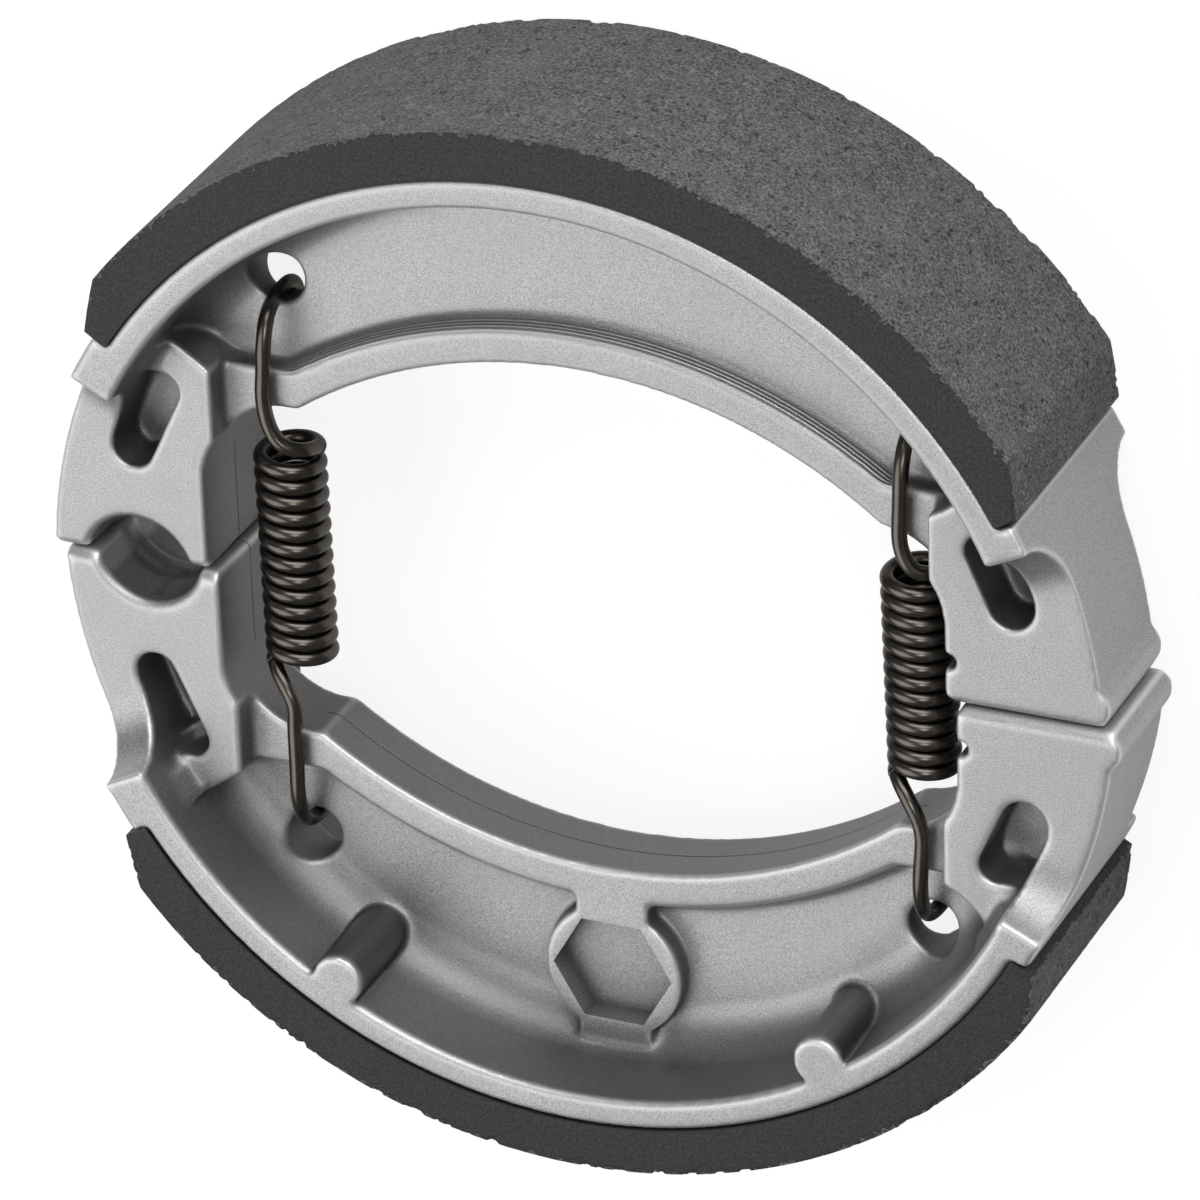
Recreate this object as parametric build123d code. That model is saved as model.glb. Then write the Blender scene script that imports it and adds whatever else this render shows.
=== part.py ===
"""A pair of drum brake shoes, hooked together by their two return springs.

Millimetres. +Z is the axis of the brake drum, and the pair lies flat with its lowest face on z = 0.
X runs from the anchor end (-X) to the cam end (+X) along the closing plane where the shoes meet.
Both shoes are the same casting: the lower one is the upper one turned over about the X axis.
"""
import os
from math import acos, atan2, cos, degrees, radians, sin, sqrt

from build123d import *

# Drum and lining
drum_radius = 55.0
shoe_width = 25.6
lining_thickness = 4.7
lining_end_thickness = 2.5
lining_end_slope = 5.4
lining_cam_angle = 28.7
lining_anchor_angle = 33.0

# Closed position: how far the drum's centre lies past the closing plane, and the shoes' slip
closing_drop = 2.61
pair_slip = 1.0
closing_gap = 0.1

# Rim and web of the casting
rim_thickness = 2.8
rim_draft = 0.35
rim_root_radius = 4.5
rim_edge = 0.4
shoulder_height = 1.6
rim_cam_angle = 25.2
rim_anchor_angle = 27.1
web_thickness = 3.2

# Inner flange
flange_crest = 25.5
flange_arc_radius = 47.6
flange_thickness = 3.5
flange_width = 8.0
flange_edge = 0.8
flange_foot = 1.2
flange_draft = 0.3
root_step = 0.35

# End blocks
block_width = 14.0
cove_width = 1.1
cove_height = 3.0
anchor_land_length = 15.8
anchor_block_depth = 17.1
anchor_block_angle = 34.0
anchor_cove_angle = 29.6
anchor_scoop_height = 9.3
anchor_scoop_radius = 7.4
cam_pad_length = 15.2
cam_block_depth = 16.6
cam_block_angle = 34.0
cam_cove_angle = 27.8
cam_scoop_height = 7.8
cam_scoop_radius = 7.3
cam_bead_radius = 2.05
cam_bead_overhang = 0.75
cam_notch_radius = 0.75
cam_notch_depth = 1.2
cam_notch_height = 4.3
cam_lip_radius = 1.3
pad_chamfer = 0.8

# Half bore for the anchor pin
bore_radius = 5.3
bore_inset = 8.6
bore_centre_drop = 1.1
bore_chamfer = 0.55
bore_land_depth = 0.45
bore_land_width = 2.0

# Spring holes, on one circle inside the rim
hole_inset = 4.05
hole_radius = 2.65
hole_draft = 0.25
anchor_hole_angle = 46.4
cam_hole_angle = 42.1
cam_scallop_radius = 8.35

# Lightening pockets: lobes as (angle from the closing plane, inset from the rim, radius)
anchor_pocket_low = (18.3, 2.1, 2.0)
anchor_pocket_high = (27.4, 2.55, 1.8)
cam_pocket_low = (17.3, 2.3, 2.15)
cam_pocket_high = (24.4, 3.0, 1.75)

# Ejector pegs and the hexagon boss, on one side only
peg_inset = 1.2
peg_radius = 2.5
peg_angles = (57.1, 119.9)
boss_side_step = 1.1
boss_inset = 8.5
boss_radius = 6.8
boss_neck = 7.3
hexagon_radius = 5.75
hexagon_depth = 2.3

# Return springs: each pair is the value at the upper shoe's end, then at the lower shoe's end
wire = 1.45
coil_outer = 6.85
coil_turns = 14
coil_height = 2.1
leg_height = 5.0
# The hook's path: how far short of the spring hole's centre, and how far above the middle plane
hook_path = ((5.4, 5.0), (2.5, 3.7), (1.62, 0.9), (1.95, -2.0), (4.4, -2.75))
anchor_coil_pitch = 1.62
cam_coil_pitch = 1.51
anchor_coil_middle = 1.0
cam_coil_middle = 0.35
anchor_coil_x = (-29.9, -29.6)
cam_coil_x = (31.9, 32.4)
anchor_leg_bow = (-31.0, -29.4)
cam_leg_bow = (31.1, 33.2)
anchor_hook_x = (-30.6, -29.4)
cam_hook_x = (31.6, 32.9)
leg_run = 4.0
leg_lean = 2.0
coil_ridge = 0.45
coil_wall_relief = 0.1

# How far joined shapes reach into each other, and how far a cut shape starts beyond its cut
lap = 1.0
lap_angle = 2.0
plane_overrun = 20.0

# Derived from the values above
half_width = shoe_width / 2
seat_radius = drum_radius - lining_thickness
rim_inner = seat_radius - rim_thickness
end_radius = seat_radius + shoulder_height
web_half = web_thickness / 2
flange_half = flange_width / 2
block_half = block_width / 2
flange_centre_y = flange_crest - flange_arc_radius
flange_outer_radius = flange_arc_radius + flange_thickness
anchor_land_inner = end_radius - anchor_land_length
anchor_wall = end_radius - anchor_block_depth
anchor_scoop = (anchor_land_inner - anchor_scoop_radius, anchor_scoop_height)
cam_pad_inner = end_radius - cam_pad_length
cam_wall = end_radius - cam_block_depth
cam_scoop = (cam_pad_inner - cam_scoop_radius, cam_scoop_height)
hole_circle = rim_inner - hole_inset
boss_centre = (boss_side_step, rim_inner - closing_drop - boss_inset)
reach = 2 * drum_radius
coil_radius = (coil_outer - wire) / 2


def polar(radius, angle):
    """A point at a radius and an angle (degrees from +X) about the drum's centre."""
    return (radius * cos(radians(angle)), radius * sin(radians(angle)) - closing_drop)


def sector(inner, outer, start, end):
    """A face between two radii and two angles about the drum's centre."""
    middle = (start + end) / 2
    outline = [
        ThreePointArc(polar(outer, start), polar(outer, middle), polar(outer, end)),
        Line(polar(outer, end), polar(inner, end)),
        ThreePointArc(polar(inner, end), polar(inner, middle), polar(inner, start)),
        Line(polar(inner, start), polar(outer, start)),
    ]
    return make_face(outline)


def disc(centre, radius):
    """A round face in the XY plane."""
    return Pos(*centre) * Circle(radius)


def box_face(x0, x1, y0, y1):
    """A rectangular face in the XY plane between two corners."""
    return Pos((x0 + x1) / 2, (y0 + y1) / 2) * Rectangle(x1 - x0, y1 - y0)


def both_ways(face, half):
    """A face carried the same distance to each side of the casting's middle plane."""
    return extrude(face, half, both=True)


def swing(profile_points, rounds, start, end, centre_y):
    """A closed (radius, height) outline with rounded corners, turned about an upright axis."""
    axis_origin = (0, centre_y, 0)
    across = (cos(radians(start)), sin(radians(start)), 0)
    plane = Plane(origin=axis_origin, x_dir=across, z_dir=(sin(radians(start)), -cos(radians(start)), 0))
    face = make_face(Polyline(*profile_points, close=True))
    for index, radius in rounds.items():
        corner = Vector(*profile_points[index])
        vertex = face.vertices().sort_by_distance(corner)[0]
        face = fillet(vertex, radius)
    return revolve(plane * face, Axis(axis_origin, (0, 0, 1)), end - start)


def rim_and_web():
    """The full-width rim, its big root fillets and the thin web in the middle plane."""
    inner_root = rim_inner - rim_draft
    web_inner = flange_crest + closing_drop + flange_thickness / 2
    outline = [
        (seat_radius, -half_width),
        (seat_radius, half_width),
        (rim_inner, half_width),
        (inner_root, web_half),
        (web_inner, web_half),
        (web_inner, -web_half),
        (inner_root, -web_half),
        (rim_inner, -half_width),
    ]
    rounds = {0: rim_edge, 1: rim_edge, 2: rim_edge, 7: rim_edge, 3: rim_root_radius, 6: rim_root_radius}
    return swing(outline, rounds, rim_cam_angle, 180 - rim_anchor_angle, -closing_drop)


def shoulder(start, end):
    """The raised stretch of rim between a lining's end and the end block."""
    middle = rim_inner + rim_thickness / 2
    outline = [
        (end_radius, -half_width),
        (end_radius, half_width),
        (middle, half_width),
        (middle, -half_width),
    ]
    return swing(outline, {0: rim_edge, 1: rim_edge}, start, end, -closing_drop)


def end_ramp(angle, turn):
    """The quarter-round by which the rim's full width falls to a block's, on both sides."""
    ramp = half_width - block_half
    outline = [
        Line((-lap, -half_width), (-lap, half_width)),
        Line((-lap, half_width), (0, half_width)),
        RadiusArc((0, half_width), (ramp, block_half), -ramp),
        Line((ramp, block_half), (ramp, -block_half)),
        RadiusArc((ramp, -block_half), (0, -half_width), -ramp),
        Line((0, -half_width), (-lap, -half_width)),
    ]
    along = Vector(-turn * sin(radians(angle)), turn * cos(radians(angle)), 0)
    outward = Vector(cos(radians(angle)), sin(radians(angle)), 0)
    plane = Plane(origin=(0, -closing_drop, 0), x_dir=along, z_dir=along.cross(Vector(0, 0, 1)))
    bar = extrude(plane * make_face(outline), reach, dir=outward)
    ramp_angle = degrees(ramp / rim_inner)
    ends = sorted((angle - lap_angle * turn, angle + (ramp_angle + lap_angle) * turn))
    return bar & both_ways(sector(rim_inner, end_radius, *ends), half_width)


def inner_space():
    """The outline under the shoe: the flange's arc, a scoop at each end and the two end walls."""
    arch = disc((0, flange_centre_y), flange_arc_radius)
    arch = arch & box_face(-anchor_land_inner, cam_pad_inner, -reach, reach)
    scoops = disc((-anchor_scoop[0], anchor_scoop[1]), anchor_scoop_radius)
    scoops = scoops + disc(cam_scoop, cam_scoop_radius)
    return arch + scoops


def flange():
    """The narrower inner flange with rounded edges and feet that spread into the web."""
    foot = flange_outer_radius + flange_draft
    outline = [
        (flange_arc_radius - lap, -flange_half),
        (flange_arc_radius - lap, flange_half),
        (flange_outer_radius, flange_half),
        (foot, web_half),
        (foot + 2 * flange_foot, web_half),
        (foot + 2 * flange_foot, -web_half),
        (foot, -web_half),
        (flange_outer_radius, -flange_half),
    ]
    rounds = {2: flange_edge, 7: flange_edge, 3: flange_foot, 6: flange_foot}
    half_span = degrees(acos((anchor_wall + lap) / flange_outer_radius))
    return swing(outline, rounds, half_span, 180 - half_span, flange_centre_y)


def flange_roots():
    """The two level stretches by which the flange grows into the blocks."""
    anchor_start = anchor_scoop[0] - lap
    anchor_crest = flange_centre_y + sqrt(flange_outer_radius ** 2 - anchor_start ** 2) - root_step
    anchor_root = box_face(-anchor_wall - lap, -anchor_start, anchor_scoop[1], anchor_crest)
    cam_start = cam_scoop[0]
    cam_crest = flange_centre_y + sqrt(flange_outer_radius ** 2 - cam_start ** 2) - root_step
    cam_root = box_face(cam_start, cam_wall + lap, cam_scoop[1], cam_crest)
    return both_ways(anchor_root + cam_root, flange_half)


def block_faces():
    """The outlines of the anchor block and the cam block."""
    above = box_face(-reach, reach, 0, reach)
    low = sector(flange_crest, end_radius, -plane_overrun, rim_cam_angle)
    high = sector(flange_crest, rim_inner + lap, rim_cam_angle - lap_angle, cam_block_angle)
    cam = (low + high) & above & box_face(cam_wall, reach, 0, reach)
    rise = closing_drop + cam_bead_radius
    bead_x = sqrt(end_radius ** 2 - rise ** 2) + cam_bead_overhang - cam_bead_radius
    cam = cam + (disc((bead_x, cam_bead_radius), cam_bead_radius) & above)
    cam = cam - disc(polar(hole_circle, cam_hole_angle), cam_scallop_radius)
    cam = cam - box_face(cam_wall - lap, cam_pad_inner, -lap, cam_scoop_height)
    lip = cam.vertices().sort_by_distance(Vector(cam_pad_inner, 0))[0]
    cam = fillet(lip, cam_lip_radius)
    notch_x = cam_pad_inner + cam_notch_depth - cam_notch_radius
    cam = cam - disc((notch_x, cam_notch_height), cam_notch_radius)
    rim_end = 180 - rim_anchor_angle
    low = sector(flange_crest, end_radius, rim_end, 180 + plane_overrun)
    high = sector(flange_crest, rim_inner + lap, 180 - anchor_block_angle, rim_end + lap_angle)
    anchor = (low + high) & above & box_face(-reach, -anchor_wall, 0, reach)
    return anchor - inner_space(), cam - inner_space()


def pocket(low, high, side):
    """One lightening pocket: two round lobes joined, and opened out to the rim's inner face."""
    ends = []
    for angle, inset, radius in (low, high):
        x, y = polar(rim_inner - inset, angle)
        ends.append(Vector(side * x, y))
    along = ends[1] - ends[0]
    normal = Vector(-along.Y, along.X).normalized()
    corners = [
        ends[0] + normal * low[2],
        ends[1] + normal * high[2],
        ends[1] - normal * high[2],
        ends[0] - normal * low[2],
    ]
    body = disc(ends[0], low[2]) + disc(ends[1], high[2]) + make_face(Polyline(*corners, close=True))
    if side > 0:
        opening = sector(rim_inner - high[1], rim_inner, low[0], cam_block_angle)
    else:
        opening = sector(rim_inner - high[1], rim_inner, 180 - anchor_block_angle, 180 - low[0])
    return body + (opening & box_face(-reach, reach, ends[0].Y, ends[1].Y + high[2]))


def block(face, recess):
    """An end block: its walls stand around a pocket that goes down to the web on both sides."""
    walls = both_ways(face - recess, block_half)
    floor = both_ways(face, web_half)
    return walls + floor


def cove(start, end):
    """The slope by which a block's face rises to the rim's inner face, on both sides."""
    top = block_half + cove_height
    outline = [
        (rim_inner - cove_width, -block_half),
        (rim_inner - cove_width, block_half),
        (rim_inner, top),
        (rim_inner + lap, top),
        (rim_inner + lap, -top),
        (rim_inner, -top),
    ]
    return swing(outline, {}, start, end, -closing_drop)


def half_bore():
    """The half bore for the anchor pin, wider on both sides of a low land in the middle plane."""
    land = Cylinder(bore_radius - bore_land_depth, block_width + 2 * lap)
    for side in (1, -1):
        depth = block_half - bore_land_width / 2 + lap
        wide = Pos(0, 0, side * (bore_land_width + depth) / 2) * Cylinder(bore_radius, depth)
        cone = Cone(bore_radius, bore_radius + bore_chamfer, bore_chamfer)
        turn = Rot(0 if side > 0 else 180, 0, 0)
        land = land + wide + Pos(0, 0, side * (block_half - bore_chamfer / 2)) * turn * cone
    return Pos(bore_inset - end_radius, -bore_centre_drop, 0) * land


def spring_hole(angle):
    """A cast hole through the web for a spring's hook, narrowest at the parting line."""
    half = Pos(0, 0, web_half / 2) * Cone(hole_radius - hole_draft, hole_radius, web_half)
    half = half + Pos(0, 0, web_half + hole_radius / 2) * Cylinder(hole_radius, hole_radius)
    return Pos(*polar(hole_circle, angle), 0) * (half + mirror(half, Plane.XY))


def ejector_side():
    """The pegs and the round boss with its two necks, standing on one side of the web."""
    boss = disc(boss_centre, boss_radius)
    neck_x = boss_centre[0] - boss_neck / 2
    neck = box_face(neck_x, neck_x + boss_neck, flange_crest + lap, rim_inner - closing_drop)
    solid = extrude(boss + neck, flange_half, dir=(0, 0, -1))
    for angle in peg_angles:
        solid = solid + extrude(disc(polar(rim_inner - peg_inset, angle), peg_radius), half_width, dir=(0, 0, -1))
    return solid


def hexagon_recess():
    """The shallow six-sided recess in the boss."""
    face = Pos(boss_centre[0], boss_centre[1], -flange_half) * RegularPolygon(hexagon_radius, 6)
    return extrude(face, hexagon_depth, dir=(0, 0, 1))


def pad_bevels():
    """The bevels that break the closing faces' long edges on both sides."""
    solid = None
    for side in (1, -1):
        corners = [
            (-reach, -pad_chamfer, side * block_half),
            (-reach, pad_chamfer, side * block_half),
            (-reach, 0, side * (block_half - pad_chamfer)),
            (-reach, -pad_chamfer, side * (block_half - pad_chamfer)),
        ]
        wedge = extrude(make_face(Polyline(*corners, close=True)), 2 * reach, dir=(1, 0, 0))
        solid = wedge if solid is None else solid + wedge
    return solid


def casting():
    """One aluminium shoe, middle plane on z = 0, closing plane on y = 0, plain side up."""
    body = rim_and_web()
    body = body + shoulder(rim_cam_angle, lining_cam_angle)
    body = body + shoulder(180 - lining_anchor_angle, 180 - rim_anchor_angle)
    body = body + end_ramp(rim_cam_angle, -1) + end_ramp(180 - rim_anchor_angle, 1)
    body = body + flange() + flange_roots() + ejector_side()
    body = body - both_ways(inner_space(), reach)
    anchor, cam = block_faces()
    body = body + block(anchor, pocket(anchor_pocket_low, anchor_pocket_high, -1))
    body = body + block(cam, pocket(cam_pocket_low, cam_pocket_high, 1))
    body = body + cove(cam_cove_angle, cam_block_angle)
    body = body + cove(180 - anchor_block_angle, 180 - anchor_cove_angle)
    body = body - half_bore() - pad_bevels() - hexagon_recess()
    return body - spring_hole(cam_hole_angle) - spring_hole(180 - anchor_hole_angle)


def lining():
    """One friction lining, thinned by a slope at each end, bonded round the rim."""
    start = lining_cam_angle
    end = 180 - lining_anchor_angle
    thin = seat_radius + lining_end_thickness
    outline = [
        Line(polar(seat_radius, start), polar(thin, start)),
        Line(polar(thin, start), polar(drum_radius, start + lining_end_slope)),
        ThreePointArc(
            polar(drum_radius, start + lining_end_slope),
            polar(drum_radius, (start + end) / 2),
            polar(drum_radius, end - lining_end_slope),
        ),
        Line(polar(drum_radius, end - lining_end_slope), polar(thin, end)),
        Line(polar(thin, end), polar(seat_radius, end)),
        ThreePointArc(polar(seat_radius, end), polar(seat_radius, (start + end) / 2), polar(seat_radius, start)),
    ]
    return both_ways(make_face(outline), half_width)


def coil(pitch, middle, x_ends):
    """The closed coil as a tube with one round ridge to each turn, leaning between its two hooks."""
    half = pitch * coil_turns / 2
    inner = coil_radius - wire / 2 + coil_wall_relief
    valley = coil_radius + wire / 2 - coil_ridge
    outline = [Line((inner, -half), (valley, -half))]
    for turn in range(coil_turns):
        low = -half + turn * pitch
        top = (valley + coil_ridge, low + pitch / 2)
        outline.append(ThreePointArc((valley, low), top, (valley, low + pitch)))
    outline.append(Line((valley, half), (inner, half)))
    outline.append(Line((inner, half), (inner, -half)))
    tube = revolve(Plane.XY * make_face(outline), Axis.Y)
    lean = degrees(atan2(x_ends[1] - x_ends[0], 2 * half))
    return Pos((x_ends[0] + x_ends[1]) / 2, middle, coil_height) * Rot(0, 0, lean) * tube


def leg_and_hook(start, bow_x, hook_x, hole_y):
    """The leg from the coil's front and the hook that turns back through the web."""
    side = 1 if start[1] > 0 else -1
    leg = [start, (bow_x, start[1] + side * leg_run, leg_height)]
    hook = [(hook_x, side * (hole_y - short), height) for short, height in hook_path]
    path = Spline(leg + hook, tangents=[((bow_x - start[0]) * leg_lean, side, 0), (0, -side, 0)])
    section = Plane(origin=path @ 0, z_dir=path % 0) * Circle(wire / 2)
    return sweep(section, path=path)


def return_spring(pitch, middle, coil_x, bow_x, hook_x, hole_angle):
    """One tension spring: a coil across the closing plane and a hook in each shoe."""
    hole_y = polar(hole_circle, hole_angle)[1]
    spring = coil(pitch, middle, coil_x)
    end = (pitch * coil_turns - wire) / 2
    for index, side in enumerate((1, -1)):
        start = (coil_x[index], middle + side * end, coil_height + coil_radius)
        spring = spring + leg_and_hook(start, bow_x[index], hook_x[index], hole_y)
    return spring


def upper(solid):
    """The upper shoe's place: its middle plane raised to half the width."""
    return Pos(-pair_slip / 2, closing_gap / 2, half_width) * solid


def lower(solid):
    """The lower shoe's place: turned over about the X axis."""
    return Pos(pair_slip / 2, -closing_gap / 2, half_width) * Rot(180, 0, 0) * solid


if __name__ == "__main__":
    os.makedirs("parts", exist_ok=True)
    shoe = casting()
    friction = lining()
    lift = Pos(0, 0, half_width)
    anchor_spring = return_spring(
        anchor_coil_pitch, anchor_coil_middle, anchor_coil_x, anchor_leg_bow, anchor_hook_x, anchor_hole_angle
    )
    cam_spring = return_spring(
        cam_coil_pitch, cam_coil_middle, cam_coil_x, cam_leg_bow, cam_hook_x, cam_hole_angle
    )
    nodes = {
        "upper_shoe": upper(shoe),
        "lower_shoe": lower(shoe),
        "upper_lining": upper(friction),
        "lower_lining": lower(friction),
        "anchor_spring": lift * anchor_spring,
        "cam_spring": lift * cam_spring,
    }
    for name, solid in nodes.items():
        print(name, solid.is_valid, round(solid.volume, 1), len(solid.solids()))
        export_step(solid, f"parts/{name}.step")
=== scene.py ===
# %% [markdown]
# A pair of drum brake shoes lies flat on a pale table. Each shoe is half a ring of cast aluminium
# with a block of friction material bonded round its outside, and two tension springs hook the
# halves together. The solid model gives every size and place. What it leaves out is the surface:
# the soft edges of a casting, the crumbly ground face of the lining, the wire of the springs. This
# lesson makes those one at a time, gives each a finish, and stands the pair in soft light.

import math

import bmesh
import bpy
import numpy as np
from mathutils import Matrix, Vector


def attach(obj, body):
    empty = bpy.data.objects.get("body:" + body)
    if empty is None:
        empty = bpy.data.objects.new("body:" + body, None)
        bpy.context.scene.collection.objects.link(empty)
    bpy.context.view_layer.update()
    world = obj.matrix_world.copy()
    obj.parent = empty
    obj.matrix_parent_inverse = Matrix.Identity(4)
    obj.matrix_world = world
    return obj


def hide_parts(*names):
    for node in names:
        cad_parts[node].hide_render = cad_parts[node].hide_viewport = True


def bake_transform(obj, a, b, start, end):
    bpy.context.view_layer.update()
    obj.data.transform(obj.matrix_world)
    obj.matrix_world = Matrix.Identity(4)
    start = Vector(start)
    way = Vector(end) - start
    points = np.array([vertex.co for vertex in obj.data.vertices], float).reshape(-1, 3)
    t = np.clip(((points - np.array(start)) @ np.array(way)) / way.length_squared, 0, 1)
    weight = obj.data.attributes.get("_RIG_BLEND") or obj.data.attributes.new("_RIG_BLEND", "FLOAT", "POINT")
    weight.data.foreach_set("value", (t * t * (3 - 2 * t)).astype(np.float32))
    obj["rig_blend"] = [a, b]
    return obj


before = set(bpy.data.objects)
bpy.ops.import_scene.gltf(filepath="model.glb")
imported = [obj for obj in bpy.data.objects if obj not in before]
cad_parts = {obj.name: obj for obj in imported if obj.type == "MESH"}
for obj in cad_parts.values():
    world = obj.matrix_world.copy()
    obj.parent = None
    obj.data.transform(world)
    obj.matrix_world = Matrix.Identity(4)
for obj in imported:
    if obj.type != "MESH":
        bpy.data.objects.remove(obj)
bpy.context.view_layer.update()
MM = 0.001

# %% [markdown]
# A workshop drawing names its sizes before it draws a line, and so does this script. They are in
# millimetres, and each stands with the step that needs it first. These few serve every piece. The
# ring's middle plane lies half a shoe's width above the table, and the drum's centre lies a little
# past the plane where the two shoes meet, which is why that drop is wanted so often.

# %% The ring's own measures
half_width = 12.8
closing_drop = 2.61
pair_slip = 1.0
closing_gap = 0.1
print("middle plane", half_width, "mm up, drum's centre", closing_drop, "mm past the closing plane")


def place_pair(points, mirror):
    """A shoe's own coordinates (middle plane and closing plane at 0) put in the pair's place."""
    flip = -1.0 if mirror else 1.0
    shift = np.array([-flip * pair_slip / 2, flip * closing_gap / 2, half_width])
    return points * np.array([1.0, flip, flip]) + shift


def own_place(points):
    """The way back for the upper shoe: from the pair's place to its own coordinates."""
    return points + np.array([pair_slip / 2, -closing_gap / 2, -half_width])


# %% [markdown]
# Every new piece is one array of places and one array of face corners. A few small helpers turn
# those into a Blender mesh, number the quads of a swept grid, and store a value for each point,
# which a material can read later to know where on the piece it is.

# %% Mesh helpers
def link(name, mesh):
    """A mesh as an object of the scene."""
    thing = bpy.data.objects.new(name, mesh)
    bpy.context.scene.collection.objects.link(thing)
    print(name, "has", len(mesh.polygons), "faces")
    return thing


def grid_faces(rows, columns):
    """Corner numbers of the quads of a grid whose points run row by row and close across."""
    r, c = np.meshgrid(np.arange(rows - 1), np.arange(columns), indexing="ij")
    here, after = r * columns, (c + 1) % columns
    quads = np.stack([here + c, here + columns + c, here + columns + after, here + after], -1)
    return quads.reshape(-1, 4)


def swept_object(name, loops):
    """A closed piece from loops of points (rows, columns, 3) in millimetres, capped at its ends."""
    rows, columns = loops.shape[:2]
    faces = grid_faces(rows, columns).tolist()
    faces += [list(range(columns))[::-1], list(range((rows - 1) * columns, rows * columns))]
    mesh = bpy.data.meshes.new(name)
    mesh.from_pydata((loops.reshape(-1, 3) * MM).tolist(), [], faces)
    work = bmesh.new()
    work.from_mesh(mesh)
    bmesh.ops.recalc_face_normals(work, faces=work.faces)
    work.to_mesh(mesh)
    work.free()
    mesh.shade_smooth()
    return link(name, mesh)


def store(mesh, name, values):
    """One number for each point of a mesh."""
    attribute = mesh.attributes.new(name, "FLOAT", "POINT")
    attribute.data.foreach_set("value", np.asarray(values, dtype=np.float32).ravel())


def ramp(value, low, high):
    """0 up to the low value, 1 from the high one on, and a straight rise between."""
    return np.clip((value - low) / (high - low), 0, 1)


# %% [markdown]
# A casting has no sharp edges. The mould rounds the outer ones, and the inner corners are filled
# with generous fillets so that the metal flows and doesn't crack. Rounding a solid model edge by
# edge is slow and often fails where many edges meet. Here the skin is first rebuilt from small even
# quads, and then moved by its own curvature: an inner corner creeps outwards for as long as it is
# tighter than the fillet wanted there, and everything is smoothed a little at the start and at the
# end.

# %% Rebuild the casting's skin from even quads
weld_distance = 0.002
quad_size = 0.26


def merged_copy(source, within):
    """A copy of a mesh in which points closer than the given millimetres are joined."""
    work = bmesh.new()
    work.from_mesh(source)
    bmesh.ops.remove_doubles(work, verts=work.verts, dist=within * MM)
    mesh = bpy.data.meshes.new(source.name + "_merged")
    work.to_mesh(mesh)
    work.free()
    return mesh


def finished(mesh, kind, **settings):
    """The mesh as one modifier leaves it."""
    thing = bpy.data.objects.new("work", mesh)
    bpy.context.scene.collection.objects.link(thing)
    modifier = thing.modifiers.new("work", kind)
    for key, value in settings.items():
        setattr(modifier, key, value)
    graph = bpy.context.evaluated_depsgraph_get()
    result = bpy.data.meshes.new_from_object(thing.evaluated_get(graph))
    bpy.data.objects.remove(thing)
    return result


def read_points(mesh):
    """All places of a mesh in millimetres, one row each."""
    points = np.empty(len(mesh.vertices) * 3)
    mesh.vertices.foreach_get("co", points)
    return points.reshape(-1, 3) / MM


def read_corners(mesh):
    """Each edge's two points, and each quad's four."""
    edges = np.empty(len(mesh.edges) * 2, dtype=np.int32)
    mesh.edges.foreach_get("vertices", edges)
    quads = np.empty(len(mesh.loops), dtype=np.int32)
    mesh.loops.foreach_get("vertex_index", quads)
    return edges.reshape(-1, 2), quads.reshape(-1, 4)


solid_skin = merged_copy(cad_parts["upper_shoe"].data, weld_distance)
even_skin = finished(solid_skin, "REMESH", mode="VOXEL", voxel_size=quad_size * MM)
print("even skin:", len(even_skin.polygons), "quads")

# %% [markdown]
# Two plain measures drive the softening. The pull is the way from a point to the mean of its
# neighbours: along the outward normal it is positive in an inner corner and negative on an edge.
# The other is that normal, found from the quads round the point.

# %% Pull and normals
def pull(points, edges, degree):
    """From each point to the mean of its neighbours: bincount adds them up for all at once."""
    total = [
        np.bincount(edges[:, 0], points[edges[:, 1], k], len(points))
        + np.bincount(edges[:, 1], points[edges[:, 0], k], len(points))
        for k in range(3)
    ]
    return np.stack(total, -1) / degree[:, None] - points


def outward(points, quads):
    """Unit normals: the cross products of the quads' diagonals, added up at their corners."""
    a, b, c, d = (points[quads[:, corner]] for corner in range(4))
    across = np.cross(c - a, d - b)
    total = [
        sum(np.bincount(quads[:, corner], across[:, k], len(points)) for corner in range(4))
        for k in range(3)
    ]
    normal = np.stack(total, -1)
    return normal / np.maximum(np.linalg.norm(normal, axis=1, keepdims=True), 1e-9)


even_points = read_points(even_skin)
edges, quads = read_corners(even_skin)
degree = np.bincount(edges.ravel(), minlength=len(even_points)).astype(float)
print("a point of the skin has", round(degree.mean(), 2), "neighbours on average")

# %% [markdown]
# The fillet radius wanted differs from place to place. The end blocks' walls have the largest, the
# anchor pin's bore and the cam's notch have nearly none, and inside the hexagon the skin is held
# still, because that recess is cut afresh further on.

# %% Fillets wanted
end_radius = 51.9
bore_inset = 8.6
bore_centre = (bore_inset - end_radius, -1.1)
bore_radius = 5.3
notch_centre = (37.1, 4.4)
boss_centre = (1.1, 36.39)
hexagon_radius = 5.75
common_fillet, block_fillet, notch_fillet, bore_fillet = 1.3, 2.1, 0.5, 0.2
bore_band, notch_reach = 0.9, 1.4
hold_width, hold_least = 0.4, 0.03


def distance(place, centre):
    """How far each place lies from a centre, seen along the drum's axis."""
    return np.hypot(place[:, 0] - centre[0], place[:, 1] - centre[1])


def fillet_wanted(place):
    """The inner corners' radius: larger at the end blocks' walls, smaller at bore and notch."""
    at_block = (np.abs(place[:, 0]) > 27) & (place[:, 1] < 28)
    at_bore = np.abs(distance(place, bore_centre) - bore_radius) < bore_band
    at_notch = distance(place, notch_centre) < notch_reach
    radius = np.where(at_block, block_fillet, common_fillet)
    return np.where(at_bore, bore_fillet, np.where(at_notch, notch_fillet, radius))


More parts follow.
